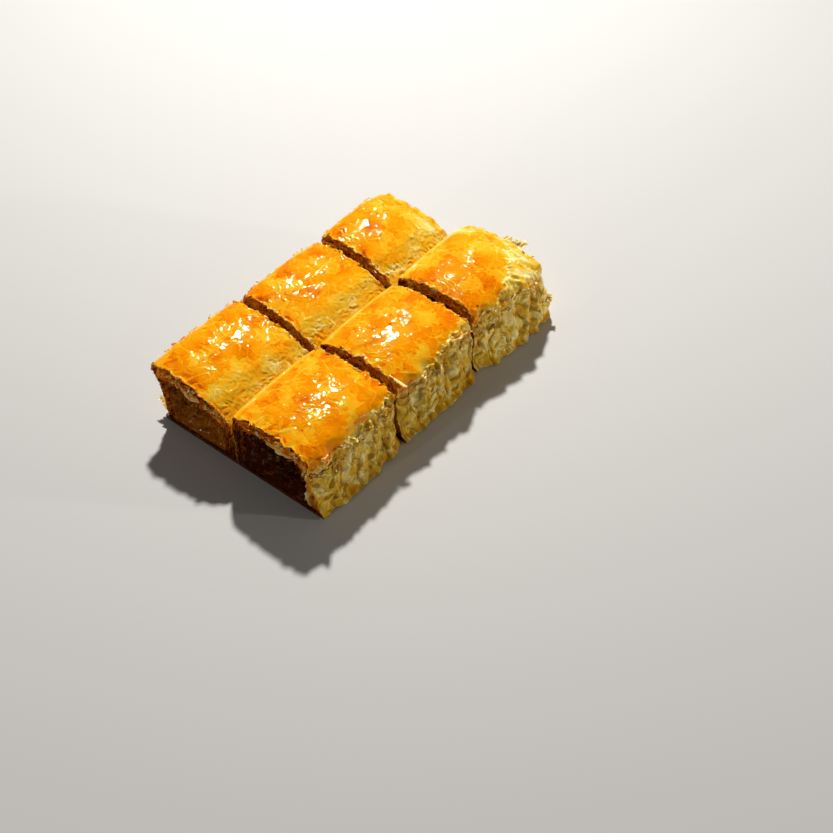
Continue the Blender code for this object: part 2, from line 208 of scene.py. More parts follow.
def warped(flat, amount, wavelength, seed):
    """The same points, pushed about, so that straight things become curved ones."""
    push = [ripple(flat, wavelength, seed + k) for k in range(flat.shape[-1])]
    return flat + amount * np.stack(push, -1)


# %% [markdown]
# ## The section, ten times finer
#
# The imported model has 31 points round each roll. The same curve through the same knots is
# sampled ten times as often here, so the fine piece keeps the solid's form. The girth counts
# the old chords: 5 is the lip at the seam, 5 to 20 the crust, 20 to 28 the outer side, and
# the rest is the base and the wall at the seam.

# %% Sample the sections
FINER = 10


def closed_curve(knots, finer):
    """Points of a Catmull-Rom curve through a closed section, as shares of its size."""
    ends = np.array([knot[:2] for knot in knots])
    points = []
    for i, (_, _, chords) in enumerate(knots):
        before, here, after, beyond = (ends[(i + k) % len(ends)] for k in (-1, 0, 1, 2))
        for t in np.arange(chords * finer) / (chords * finer):
            points.append(
                here
                + 0.5 * t * (after - before)
                + 0.5 * t**2 * (2 * before - 5 * here + 4 * after - beyond)
                + 0.5 * t**3 * (3 * here - before - 3 * after + beyond)
            )
    return np.maximum(np.array(points), 0)


curves = {roll: closed_curve(knots, FINER) for roll, knots in SECTIONS.items()}
girth = np.arange(len(curves["left"])) / FINER
on_crust = smoothstep(4.2, 5.2, girth) * falls(19.2, 20.2, girth)
on_side = smoothstep(19.2, 20.2, girth) * falls(27.6, 28, girth)
on_base = np.maximum(smoothstep(27.9, 28.3, girth), falls(0.5, 1, girth))
print("points round a roll:", len(girth))


def arc_length(curve, height):
    """How far round the section each point is, in metres from the foot at the seam."""
    size = curve * (ROLL_WIDTH, height)
    steps = np.linalg.norm(np.diff(size, axis=0), axis=1)
    return np.concatenate([[0], np.cumsum(steps)])


# %% [markdown]
# ## The crust
#
# The top sheet of filo bakes to a thin glassy skin. It lifts in blisters, tears so that the
# sheet below shows, and gathers in fine curved wrinkles, and brushed butter leaves streaks.
# Each of these is real height in the mesh, because it has to break up the syrup's reflection.
# The same lines also paint it: outlines of blisters brown first, and wrinkles stay pale.

# %% Pattern of the crust


def crust_pattern(flat, seed):
    """Height in metres and browning from 0 to 1 of the top sheet, on its unrolled plane."""
    bent = warped(flat, 2.4 * MM, 14 * MM, seed)
    blister = line_distance(bent, 16 * MM, seed + 3)
    torn = line_distance(bent, 9 * MM, seed + 4)
    fold = line_distance(bent, 11 * MM, seed + 5)
    crease = line_distance(warped(flat, 1.2 * MM, 6 * MM, seed + 7), 4.5 * MM, seed + 9)
    where_folds = smoothstep(0, 0.7, ripple(flat, 14 * MM, seed + 10))
    where_creases = smoothstep(0.5, 1.2, ripple(flat, 8 * MM, seed + 11))
    where_arcs = smoothstep(0.5, 1.1, ripple(flat, 12 * MM, seed + 17))
    folds = bell(fold, 0.36 * MM) * where_folds
    creases = bell(crease, 0.2 * MM) * where_creases
    arcs = np.abs(np.cos(math.pi * blister / (1.9 * MM))) ** 14 * where_arcs
    lines = np.clip(1.25 * folds + 0.5 * creases + 0.8 * arcs, 0, 1.3)
    flow = warped(flat, 5 * MM, 20 * MM, seed + 12)
    streaks = ripple(flow * (1, 0.25), 1.5 * MM, seed + 14)
    dimples = ripple(bent, 2.6 * MM, seed + 18)
    bare = line_distance(warped(flat, 0.7 * MM, 3 * MM, seed + 20), 15 * MM, seed + 22)
    bare -= MM
    flaked = smoothstep(-0.12 * MM, 0.12 * MM, bare)
    height = 0.06 * smoothstep(-MM, MM, blister) + 0.12 * lines - 0.08 * flaked
    height += 0.04 * smoothstep(-0.25 * MM, 0.25 * MM, torn)
    height = height + 0.005 * streaks + 0.005 * dimples
    outline = bell(torn + 0.3 * MM, 0.35 * MM)
    edge = bell(bare + 0.25 * MM, 0.3 * MM)
    brown = 0.55 + 0.05 * ripple(flat, 13 * MM, seed + 16) + 0.05 * outline + 0.09 * edge
    brown = brown + 0.04 * smoothstep(0, 0.3 * MM, torn) - 0.15 * flaked
    brown = brown - 0.17 * lines + 0.02 * streaks
    return (height - 0.15) * MM, brown


# %% [markdown]
# ## The sides and the cut faces
#
# Under the crust the sheets were pushed together while they were soft. They swell in round
# bulges that run down the side, flecked, with sharp creases between them. The crests are
# painted paler, as painted light, and the creases darker: partly syrup that gathers there,
# partly painted shade.
# A knife shows the sheets edge-on: strands that follow the outline of the roll. Noise that
# is stretched along the outline and tight across it gives those strands.

# %% Patterns of the sides and the cut faces


def side_pattern(flat, up, seed):
    """Height, browning and soaking of the pleated sides, knobblier near the top, with painted
    light and shade.
    """
    bent = warped(flat, 0.6 * MM, 8 * MM, seed)
    pleat = np.minimum(np.abs(ripple(bent * (1, 0.16), 9 * MM, seed + 3)), 1.4)
    fine = np.minimum(np.abs(ripple(bent * (1, 0.35), 4.5 * MM, seed + 4)), 1.4)
    knobs = ripple(bent * (1, 0.8), 3 * MM, seed + 5)
    crumple = 1 - np.abs(ripple(bent, 2.2 * MM, seed + 9))
    top = smoothstep(0.3, 0.75, up)
    height = 0.6 * pleat + 0.45 * fine + (0.06 + 0.22 * top) * knobs + 0.1 * crumple
    # Painted light and shade: paler on the crests of the pleats and crumples, darker in the
    # creases.
    creases = bell(pleat, 0.28) + 0.7 * bell(fine, 0.25)
    brown = 0.18 + 0.06 * ripple(flat, 8 * MM, seed + 7) + 0.04 * creases
    brown = brown - 0.06 * smoothstep(0.8, 1.3, pleat) - 0.08 * smoothstep(0.6, 1.2, crumple)
    soak_and_shade = 0.22 + smoothstep(0.1, 1, creases + 0.3 * ripple(flat, 5 * MM, seed + 8))
    return (height - 0.4) * MM, brown, soak_and_shade


def strand_pattern(around, depth, seed):
    """Height and tone of the sheets seen edge-on, from the arc length and the depth."""
    drift = 0.6 * MM * ripple(np.stack([around, depth], -1), 8 * MM, seed)
    strands = ripple(np.stack([around * 0.07, depth + drift], -1), 1.1 * MM, seed + 1)
    frayed = ripple(np.stack([around * 0.5, depth], -1), 1.8 * MM, seed + 2)
    return (0.26 * strands + 0.12 * frayed) * MM, strands


# %% [markdown]
# ## One square of pastry
#
# A square is one closed grid: rings run along its skin, fold in over each cut face to the
# hole for the filling, and go back through the hole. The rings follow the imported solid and
# add the fine patterns. Beside the cuts the rings are closer together, because the crust
# ends there in a thin, lifted, ragged lip.

# %% Rings of the skin
RINGS_ALONG = 124
even_share = np.linspace(0, 1, RINGS_ALONG)
along_share = even_share - 0.064 * np.sin(2 * math.pi * even_share)


def outward_normals(across, height):
    """Unit normals of a closed section that runs round from its base at the seam."""
    ahead = np.stack([np.roll(across, -1, -1), np.roll(height, -1, -1)], -1)
    behind = np.stack([np.roll(across, 1, -1), np.roll(height, 1, -1)], -1)
    run = ahead - behind
    normals = np.stack([-run[..., 1], run[..., 0]], -1)
    return normals / np.maximum(np.linalg.norm(normals, axis=-1, keepdims=True), 1e-9)


def cut_half_gap(up):
    """Half the width of a cut at this share of the height."""
    return CUT_HALF_GAP_BASE + (CUT_HALF_GAP_CRUST - CUT_HALF_GAP_BASE) * up**CUT_CURVE


def start_face(piece, up):
    """Where the piece starts at this height, from its own middle."""
    return (piece.start - piece.end) / 2 + (0 if piece.free_start else cut_half_gap(up))


def end_face(piece, up):
    """Where the piece's full section ends at this height."""
    back = TAIL_ROUNDING + TAIL_DOME if piece.closed_end else cut_half_gap(up)
    return (piece.end - piece.start) / 2 - back


def skin(piece):
    """The outer surface as a grid of points, with its painted values."""
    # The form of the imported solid
    curve = curves[piece.roll]
    across, up = curve[None, :, 0], curve[None, :, 1]
    along = along_share[:, None]
    start, end = start_face(piece, up), end_face(piece, up)
    x = start + (end - start) * along
    under_crust = falls(0.7, 0.95, up)
    pinch = 1 - END_PINCH * np.abs(2 * along - 1) ** 4 * under_crust
    bulge = smoothstep(0, 0.8, along) * smoothstep(0.55, 1, across)
    bulge *= 0.55 + 0.45 * smoothstep(0, 0.3, up)
    y = ROLL_WIDTH * across * pinch + piece.flare * bulge * (1 - 0.9 * up**1.5)
    outer_far = smoothstep(0.5, 1, along) * smoothstep(0.25, 1, across)
    sag = END_SAG * np.abs(2 * along - 1) ** 3 * up
    z = piece.height * up * (1 - sag - piece.droop * outer_far)

    on_top = smoothstep(0.03, 0.16, across) * smoothstep(0.7, 0.9, up)
    relief = 0.15 * CRUST_RELIEF * on_top * ripple(np.stack([x, y], -1), CRUST_WAVE, piece.seed)
    outer = smoothstep(0.86, 0.98, across) * falls(0.8, 0.95, up)
    down = np.stack([x, z * PLEAT_STRETCH], -1)
    pleats = PLEAT_RELIEF * outer * ripple(down, PLEAT_WAVE, piece.seed + 50)

    # How far down the crust reaches, and where the soft side starts
    around = arc_length(curve, piece.height)
    flat = np.stack(np.broadcast_arrays(x + piece.middle, around[None, :]), -1)
    border = np.clip(line_distance(flat, 6 * MM, piece.seed + 300) / MM, -1.5, 1.5)
    border = 0.3 * border + 0.12 * ripple(flat, 2 * MM, piece.seed + 301)
    here = girth[None, :] + border + piece.bare * along**1.2
    crust = smoothstep(4.2, 5.2, girth)[None, :] * falls(19.35, 19.65, here)
    side = (1 - crust) * (1 - on_base) * smoothstep(12, 14, girth)
    side *= 0.35 + 0.65 * smoothstep(0.02, 0.2, up)
    valley = falls(5, 11, girth)[None, :] * (piece.roll == "left")

    # The fine relief, laid on along the normals
    crust_height, crust_brown = crust_pattern(flat, piece.seed * 1000)
    side_height, side_brown, side_soak_and_shade = side_pattern(flat, up, piece.seed * 1000 + 500)
    lip = bell(here - 19.4, 0.16) * on_crust
    to_end = 1 if piece.closed_end else end - x
    to_cut = np.minimum(x - start, to_end)
    lifted = smoothstep(-0.2, 1, ripple(flat, 4 * MM, piece.seed + 310))
    curl = np.exp(-to_cut / (0.7 * MM)) * lifted * crust
    last_line = 3.2 * MM + 1.3 * MM * ripple(flat, 13 * MM, piece.seed + 320)
    last_line = (end - x - last_line) * piece.closed_end + MM * (not piece.closed_end)
    torn_off = smoothstep(0.15 * MM, -0.15 * MM, last_line)
    torn_line = bell(last_line, 0.3 * MM) * crust
    bare_top = smoothstep(0.5, 0.8, up) * smoothstep(1, 5, piece.bare * along)
    relief = relief + crust * crust_height + side * side_height * (1 - 0.5 * bare_top)
    crumpled = warped(flat, 1.5 * MM, 6 * MM, piece.seed + 360)
    puckers = ripple(crumpled, 4 * MM, piece.seed + 362)
    crumpled = warped(flat, MM, 5 * MM, piece.seed + 370)
    crinkle = bell(line_distance(crumpled, 4.5 * MM, piece.seed + 372), 0.22 * MM) * valley
    relief += crust * (0.1 * valley * puckers + 0.15 * crinkle) * MM
    relief += (0.25 * lip + 0.4 * curl) * MM
    relief += (0.3 * torn_line - 0.2 * crust * torn_off) * MM
    normals = outward_normals(y, z)
    y = y + normals[..., 0] * relief + pleats
    z = np.maximum(z + normals[..., 1] * relief, 0)

    # The ragged edges at the cuts
    ragged = EDGE_RAGGEDNESS * ripple(np.stack([y, z], -1), EDGE_WAVE, piece.seed + 100)
    ragged *= up
    fine = 0.16 * MM * ripple(np.stack([y, z], -1), 1.7 * MM, piece.seed + 330) * up
    if not piece.closed_end:
        x = x + ragged * along**8 + fine * along**40
    x = x - ragged * (1 - along) ** 8 - fine * (1 - along) ** 40

    # The painted values
    # Painted light: the sides of the back row are lighter, where the lamp behind the block falls
    # on them. The bare top is lighter too: the crust is gone there, and part of it is painted
    # light.
    side_soak_and_shade = side_soak_and_shade * (1 - 0.9 * bare_top) - 0.3 * (piece.row == "back")
    side_brown = side_brown - (0.14 if piece.row == "back" else 0.06) * bare_top
    rim = falls(0.02, 0.12, up) * on_side[None, :]
    seam_lip = bell(girth - 5, 0.45)[None, :] * (piece.roll == "right")
    near_cut = 0.6 + 0.4 * ripple(flat, 5 * MM, piece.seed + 340)
    near_cut = np.exp(-to_cut / (2.6 * MM)) * near_cut
    pale_end = smoothstep(0.55, 1, along) * piece.closed_end
    brown = crust_brown - 0.25 * valley - 0.3 * seam_lip + 0.2 * near_cut
    brown = brown - 0.18 * pale_end - 0.1 * crinkle
    baked = crust * (1 - 0.5 * smoothstep(18.6, 19.6, here))
    brown = baked * brown + (1 - baked) * (side_brown + 0.05 * rim)
    brown = brown - 0.3 * torn_line + 0.08 * torn_off * crust
    brown = brown - 0.3 * lip - 0.45 * np.exp(-to_cut / (0.35 * MM)) * crust
    # Painted shade: beside the free cut, the left roll's outer wall is darker.
    shade = np.exp(-(x - start) / (7 * MM)) * (piece.free_start and piece.roll == "left")
    brown += 0.45 * shade * on_side
    for spot_x, spot_girth in SPECKS.get((piece.roll, piece.row), ()):
        spot = (spot_x * MM, np.interp(spot_girth, girth, around))
        away = np.linalg.norm(flat - spot, axis=-1)
        brown += 0.8 * bell(away, 0.4 * MM)
    base_brown = 0.62 + 0.12 * ripple(flat, 7 * MM, piece.seed + 350)
    brown = brown * (1 - on_base) + base_brown * on_base
    brown += 0.1 * (1 - crust) * (1 - on_side) * (1 - on_base)
    wet = crust + (1 - crust) * 0.95 - 0.5 * on_base[None, :]
    # Painted shade: darker at the foot, where the block meets the floor, and beside the left
    # free cut.
    foot = 0.6 * np.exp(-up / 0.07) + 0.5 * shade
    soak_and_shade = np.clip(side * side_soak_and_shade + foot * (1 - crust), 0, 1)
    rough = 0.9 - 0.87 * crust + 0.35 * crust * valley
    return painted_grid(np.stack([x, y, z], -1), brown, wet, rough, soak_and_shade)


def painted_grid(points, brown, wet, rough, soak_and_shade=0, cut=0, layer=0):
    """A grid of points, and its painted values with one column each."""
    values = (brown, cut, wet, layer, rough, soak_and_shade)
    return points, np.stack([np.broadcast_to(value, points.shape[:-1]) for value in values], -1)


# %% [markdown]
# ## The cut faces and the closed tail
#
# A knife pulls the brittle sheets apart, so a cut face is never flat: the crust stands over
# a hollow, and the sheets nearer the filling fray outwards. The rings below step inwards
# from the crust's edge to the hole. The last row ends in a tail instead, where the sheets
# were tucked under: it rounds over, with folds that run down its end.

# %% Rings of a cut face and of the tail
FACE_SHARES = np.concatenate([[0.02], np.linspace(0.05, 1, 25)])
TURN_RINGS, FACE_RINGS = 18, 18
STEP_SHARES = (0, 0.05, 0.12, 0.24, 0.42, 0.58, 0.78, 1)
STEP_HEIGHTS = (0, -0.25, -0.6, -0.75, -0.1, 0.55, 0.15, -0.3)  # mm out of the face


def tunnel(piece, x, clearance):
    """The ring round the filling at x."""
    curve = curves[piece.roll]
    side, base = WALL_SIDE + clearance, WALL_BASE + clearance
    top = WALL_TOP + END_SAG * piece.height + clearance
    y = side + curve[:, 0] * (ROLL_WIDTH - 2 * side)
    z = base + curve[:, 1] * (piece.height - base - top)
    return np.stack([np.full_like(y, x), y, z], -1)


def cut_face(piece, edge, face, outward):
    """Rings from the skin's edge to the hole, with the sheets of filo as strands."""
    hole = tunnel(piece, 0, 0)
    share = FACE_SHARES[:, None]
    ring = edge + (hole - edge) * share[..., None]
    up = np.clip(ring[..., 2] / piece.height, 0, 1)
    around = np.broadcast_to(arc_length(curves[piece.roll], piece.height), ring.shape[:2])
    depth = share * np.linalg.norm(hole - edge, axis=-1)
    height, strands = strand_pattern(around, depth, piece.seed * 1000 + 700 + int(outward))
    rough = ripple(ring[..., 1:], EDGE_WAVE, piece.seed + 150) * EDGE_RAGGEDNESS
    stand_out = np.interp(share, STEP_SHARES, STEP_HEIGHTS) * MM
    frayed = height * smoothstep(0, 0.1, share) * smoothstep(0, 0.12, up)
    flat_x = face(piece, up) + outward * ((stand_out + rough) * up + frayed)
    keep = falls(0, 0.06, share)
    ring[..., 0] = flat_x * (1 - keep) + edge[:, 0] * keep
    past_crust = smoothstep(17.5, 20, girth)
    top_part = smoothstep(3.5, 6, girth) * (1 - past_crust)
    outer_part = past_crust * falls(26, 28, girth)
    # Painted shade: browner towards the foot of the cut face.
    brown = 1.02 + 0.14 * strands + 0.2 * falls(0.05, 0.3, up)
    if piece.free_start and outward < 0:
        patchy = ripple(ring[..., 1:], 3 * MM, piece.seed + 160)
        inner = share + 0.12 * patchy
        pale, band = {"right": (0.7, 0.75), "left": (0.3, 0.45)}[piece.roll]
        brown -= pale * outer_part * falls(0.55, 1, inner)
        brown -= 0.12 * (piece.roll == "left") * share
        band = band * smoothstep(-0.6, 0.8, patchy + 0.6 * strands) * smoothstep(8, 12, girth)
        brown -= (0.2 + band * bell(share - 0.6, 0.2)) * top_part
        seam_part = smoothstep(2, 4, girth) * falls(5.5, 8, girth)
        brown -= 0.4 * seam_part * (1 - share)
    else:
        brown -= 0.45 * outer_part * (1 - 0.35 * share)
        brown = brown - 0.12 - (0.6 - 0.3 * share) * top_part + 0.22 * strands
    brown -= 0.45 * np.exp(-share / 0.03) * top_part
    wet = 0.6 + 0.3 * strands
    soak_and_shade = {"right": 0.75, "left": 0.35}[piece.roll] * (1 - np.maximum(top_part, outer_part))
    # Painted shade: darker towards the foot of the cut face.
    soak_and_shade = np.clip(soak_and_shade + 0.8 * falls(0.05, 0.45, up), 0, 1)
    wet = np.clip(wet, 0.1, 1)
    return painted_grid(ring, brown, wet, 1, soak_and_shade, cut=1, layer=depth / MM)


def tail(piece, ring):
    """Rings that round off the tail and close its end face."""
    low, high = ring.min(0), ring.max(0)
    middle, half = (low[1] + high[1]) / 2, (high[1] - low[1]) / 2
    rings = []
    for turn in np.radians(np.linspace(5, 90, TURN_RINGS)):
        inward = 1 - math.cos(turn)
        drawn = ring.copy()
        drawn[:, 0] += TAIL_ROUNDING * math.sin(turn)
        drawn[:, 1] = middle + (ring[:, 1] - middle) * (1 - TAIL_SIDE_INWARD * inward / half)
        drawn[:, 2] = ring[:, 2] * (1 - TAIL_TOP_INWARD * inward / high[2])
        rings.append(drawn)
    edge = rings[-1]
    centre = np.array([0, middle, edge[:, 2].max() / 2])
    for share in np.linspace(0.95, 0.05, FACE_RINGS):
        drawn = edge + (centre - edge) * (1 - share)
        folds = ripple(drawn[:, 1:] * (1, PLEAT_STRETCH), PLEAT_WAVE, piece.seed + 250)
        drawn[:, 0] = edge[:, 0] + TAIL_DOME * (1 - share**2)
        drawn[:, 0] += TAIL_RELIEF * (1 - share) * folds
        rings.append(drawn)
    rings = np.array(rings)
    step = np.arange(len(rings))[:, None]
    lumps = ripple(rings, 6 * MM, piece.seed + 400)
    creases = 1 - np.abs(ripple(rings * (1, 1, 0.35), 4 * MM, piece.seed + 401))
    laps = line_distance(rings * (1, 1, 0.5), 7 * MM, piece.seed + 402)
    up = rings[..., 2] / piece.height
    lapped = 0.35 * smoothstep(-0.2 * MM, 0.2 * MM, laps)
    push = (0.35 * lumps + 0.3 * creases + lapped - 0.3) * MM
    push *= smoothstep(0, 6, step) * smoothstep(0.02, 0.15, up)
    turning = np.clip(step / (TURN_RINGS - 1), 0, 1)
    rings[..., 0] += push * turning
    rings[..., 2] += push * (1 - turning) * smoothstep(0.3, 0.8, up)
    up = rings[..., 2] / piece.height
    top_brown = {"right": 0.1, "left": 0.25}[piece.roll] * smoothstep(0.5, 0.95, up)
    brown = 0.11 + top_brown + 0.04 * lumps - 0.05 * creases
    brown += 0.1 * bell(laps, 0.4 * MM)
    brown += 0.15 * falls(0.02, 0.14, up)
    # Painted shade: darker at the bottom of the tail, where it meets the floor.
    soak_and_shade = 0.25 * bell(laps, 0.5 * MM) + 0.6 * np.exp(-rings[..., 2] / (2 * MM))
    return painted_grid(rings, brown, 0.95, 0.4, np.clip(soak_and_shade, 0, 1))


# %% [markdown]
# ## Torn leaves
#
# Filo tears when it is cut and lifted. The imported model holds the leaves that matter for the
# outline as thick wedges. Here each becomes three thin sheets with their own torn edges, and
# hundreds of smaller flakes stand along the cuts and the shoulder. A sheet is a small grid
# with two faces: it is rooted in the pastry along one edge, and it curls as it leaves.

# %% Thin torn sheets


@dataclass
class Leaf:
    """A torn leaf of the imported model, in millimetres in its roll."""

    root: tuple
    along: tuple
    out: tuple
    length: float
    reach: float
    curl: float
    seed: int

    @property
    def frayed(self):
        """Whether it belongs to the tuft on the far end."""
        return 31 <= self.seed <= 35


LEAVES = {
    ("right", "back"): (
        Leaf((133, 26, 26.5), (-0.2, 1, 0), (0.8, -0.1, 0.6), 6.5, 6.5, 1, 31),
        Leaf((131, 30, 24.3), (0.2, 1, -0.2), (0.7, 0.3, 0.7), 5.5, 6.5, -0.8, 32),
        Leaf((133.5, 20, 26), (0, 1, 0.1), (0.9, -0.1, 0.4), 6.5, 4.8, 0.6, 33),
        Leaf((127.5, 6.5, 25.5), (0.4, 1, 0.2), (0.9, -0.3, 0.5), 7, 6, 0.6, 34),
        Leaf((129.5, 12, 27), (0.1, 1, 0), (0.8, 0, 0.6), 6.5, 5, 0.8, 35),
        Leaf((132, 40, 9), (0.7, -0.5, 0.4), (0.5, 0.85, 0.1), 5, 6, 0.5, 36),
        Leaf((101, 38, 15), (1, 0.1, 0.5), (0, 0.9, 0.4), 9, 3.6, -0.8, 37),
        Leaf((117, 38.5, 21), (1, 0.1, 0.2), (0, 0.8, 0.5), 9, 3.6, -0.8, 38),
    ),
    ("right", "middle"): (
        Leaf((48.5, 35, 26), (0.1, 1, -0.3), (-0.7, 0.2, 0.6), 8, 2.8, 0.4, 39),
        Leaf((81, 37, 23.5), (1, 0.1, -0.1), (0.1, 0.8, 0.5), 10, 3.4, -0.7, 40),
        Leaf((62, 38, 12), (1, 0, 0.7), (-0.1, 0.9, 0.3), 9, 3, -0.5, 41),
    ),
    ("right", "front"): (
        Leaf((6.5, 34, 22.6), (1, 0.05, 0), (-0.1, 0.85, 0.45), 9, 5.6, -0.6, 42),
        Leaf((12, 36.8, 18.3), (1, 0.1, 0.25), (-0.1, 0.9, 0.3), 10, 2.8, -0.6, 43),
        Leaf((1.2, 21, 25.2), (0, 1, -0.04), (-1, 0, -0.2), 21, 3.2, 0.3, 44),
        Leaf((1.2, 35, 13), (0.1, -0.06, 1), (-0.9, -0.5, 0), 18, 3.4, 0.5, 45),
    ),
    ("left", "front"): (
        Leaf((1.2, 18.5, 24.2), (0, 1, 0.34), (-1, 0, -0.2), 19, 3.2, 0.3, 46),
        Leaf((4.5, 34, 6), (1, 0.3, 0.2), (-0.2, 1, 0.1), 9, 8.2, 0.8, 47),
    ),
}


def unit(vector):
    """The same direction with length 1."""
    return np.asarray(vector, float) / np.linalg.norm(vector)


def torn_sheet(root, along, out, length, reach, curl, thickness, seed, chords, steps):
    """A thin curled sheet as rings of points, from one end of its root to the other."""
    along, out = unit(along), unit(out)
    up = unit(np.cross(out, along))
    share, way = np.linspace(0.03, 0.97, chords + 1), np.linspace(0, 1, steps + 1)
    torn = 1 + 0.2 * ripple(share[:, None], 0.7, seed)
    torn += 0.13 * ripple(share[:, None], 0.2, seed + 1)
    far = reach * np.clip(torn, 0.3, 1.3) * np.sin(math.pi * share) ** 0.4
    place = np.stack(np.broadcast_arrays(share[:, None] * length, way * reach), -1)
    crumple = 0.1 * reach * ripple(place, 0.35 * length, seed + 2) * way
    middle = root + along * ((share - 0.5) * length)[:, None, None]
    middle = middle + out * (far[:, None] * way)[..., None]
    lift = (curl * way**2 + crumple)[..., None]
    half = (thickness / 2 * (1 - 0.6 * way))[None, :, None]
    top, bottom = middle + up * (lift + half), middle + up * (lift - half)
    return np.concatenate([bottom, top[:, ::-1]], axis=1)


# %% [markdown]
# ## Building the meshes
#
# Everything is a grid, so one short helper joins grids of points into faces. The painted
# values are stored on the points as named attributes, which the materials read: brown is how
# far it baked, with painted shade and painted light added in places, cut marks a cut face,
# wet is how much syrup lies on it, layer counts the depth in the pastry, rough is how
# crumpled it is, and the last, the soaking, is how much syrup is in it together with
# painted shade in creases and at the foot.

# %% Collect grids into a mesh
PAINT = ("brown", "cut", "wet", "layer", "rough", "soak_and_shade")
SHARP_ANGLE = 60  # degrees between two faces that meet in a hard edge


class Shape:
    """Points, faces and painted values of one piece, before they become a mesh."""

    def __init__(self):
        self.points, self.paint, self.faces, self.count = [], [], [], 0
        self.sheets_from = None

    def add(self, grid, paint, close_rows=False, tips=(), caps=False):
        """Adds a grid whose columns close on themselves. One with caps is a thin sheet."""
        rows, columns = grid.shape[:2]
        if caps and self.sheets_from is None:
            self.sheets_from = len(self.faces)
        index = self.count + np.arange(rows * columns).reshape(rows, columns)
        below = np.roll(index, -1, 0) if close_rows else index[1:]
        above = index if close_rows else index[:-1]
        quads = [above, np.roll(above, -1, 1), np.roll(below, -1, 1), below]
        self.faces += np.stack(quads, -1).reshape(-1, 4).tolist()
        self.points.append(grid.reshape(-1, 3))
        paint = np.broadcast_to(paint, (rows, columns, len(PAINT)))
        self.paint.append(paint.reshape(-1, len(PAINT)))
        self.count += rows * columns
        if caps:
            self.faces += [index[0, ::-1].tolist(), index[-1].tolist()]
        for tip, ring in zip(tips, (index[0, ::-1], index[-1])):
            self.points.append(np.array(tip)[None])
            self.paint.append(self.paint[-1][-1:])
            following = np.roll(ring, -1)
            self.faces += [[a, b, self.count] for a, b in zip(ring.tolist(), following.tolist())]
            self.count += 1

    def object(self, name, piece, materials):
        """Makes the shown piece."""
        place, mirror = piece.place
        points = np.concatenate(self.points) * mirror + place
        faces = self.faces if mirror[1] < 0 else [face[::-1] for face in self.faces]
        mesh = bpy.data.meshes.new(name)
        mesh.from_pydata(points.tolist(), [], faces)
        paint = np.concatenate(self.paint)
        for column, label in enumerate(PAINT):
            values = mesh.attributes.new(label, "FLOAT", "POINT").data
            values.foreach_set("value", np.ascontiguousarray(paint[:, column], np.float32))
        for material in materials:
            mesh.materials.append(material)
        slots = np.zeros(len(faces), np.int32)
        slots[self.sheets_from or len(faces) :] = len(materials) - 1
        mesh.polygons.foreach_set("material_index", slots)
        mesh.shade_smooth()
        mesh.set_sharp_from_angle(angle=math.radians(SHARP_ANGLE))
        obj = bpy.data.objects.new(name, mesh)
        bpy.context.scene.collection.objects.link(obj)
        return obj


# %% [markdown]
# ## Materials
#
# Filo is full of butter and syrup. Its shine is the pastry's own surface and not a coat over
# it, because the finest creases have to break the reflection up. Light goes right through
# the thin torn sheets, so those alone scatter it below the surface. The nuts do lie under a
# film of syrup, and have a coat. How wet a place is and how finely it is crumpled matter for
# pastry and nuts alike, so both effects are node groups.

# %% Node helpers


class Nodes:
    """Adds nodes to a tree with little writing."""

    def __init__(self, tree):
        self.tree = tree

    def add(self, kind, inputs=(), **settings):
        """A node of this kind. A value in inputs is a number, a colour or another socket."""
        node = self.tree.nodes.new(kind)
        for name, value in settings.items():
            setattr(node, name, value)
        self.feed(node.inputs, dict(inputs))
        return node

    def feed(self, sockets, values):
        """Gives each named socket its value."""
        for name, value in values.items():
            if isinstance(value, bpy.types.NodeSocket):
                self.tree.links.new(value, sockets[name])
            else:
                sockets[name].default_value = value

    def math(self, operation, first, second=0.5, third=0.5):
        """The result of a Math node."""
        inputs = {0: first, 1: second, 2: third}
        return self.add("ShaderNodeMath", inputs, operation=operation).outputs[0]

    def total(self, start, *terms):
        """The start plus each term, which is a socket and the factor it counts with."""
        for term, factor in terms:
            start = self.math("MULTIPLY_ADD", term, factor, start)
        return start

    def vector(self, operation, inputs):
        """The result of a Vector Math node."""
        return self.add("ShaderNodeVectorMath", inputs, operation=operation).outputs[0]

    def remap(self, value, low, high, to_low=0, to_high=1):
        """The value moved from one range to another, and kept inside that."""
        inputs = {"Value": value, "From Min": low, "From Max": high}
        inputs |= {"To Min": to_low, "To Max": to_high}
        return self.add("ShaderNodeMapRange", inputs).outputs["Result"]

    def painted(self, name):
        """A painted value of the mesh."""
        return self.add("ShaderNodeAttribute", attribute_name=name).outputs["Fac"]

    def place(self):
        """The place on the object, in metres."""
        return self.add("ShaderNodeTexCoord").outputs["Object"]

    def noise(self, place, scale, detail=3, roughness=0.55):
        """A noise value at this place."""
        inputs = {"Vector": place, "Scale": scale, "Detail": detail, "Roughness": roughness}
        return self.add("ShaderNodeTexNoise", inputs).outputs["Fac"]

    def ramp(self, factor, stops):
        """A colour ramp: pairs of a position and a linear colour."""
        node = self.add("ShaderNodeValToRGB", {0: factor})
        elements = node.color_ramp.elements
        while len(elements) < len(stops):
            elements.new(0.5)
        for element, (position, colour) in zip(elements, stops):
            element.position = position
            element.color = (*colour, 1)
        return node.outputs["Color"]

    def surface(self, inputs):
        """A Principled shader with these inputs, as the surface of the material."""
        shader = self.add("ShaderNodeBsdfPrincipled", inputs)
        self.add("ShaderNodeOutputMaterial", {"Surface": shader.outputs[0]})


def new_material(name):
    """An empty material, and its nodes."""
    material = bpy.data.materials.new(name)
    material.use_nodes = True
    material.node_tree.nodes.clear()
    return material, Nodes(material.node_tree)


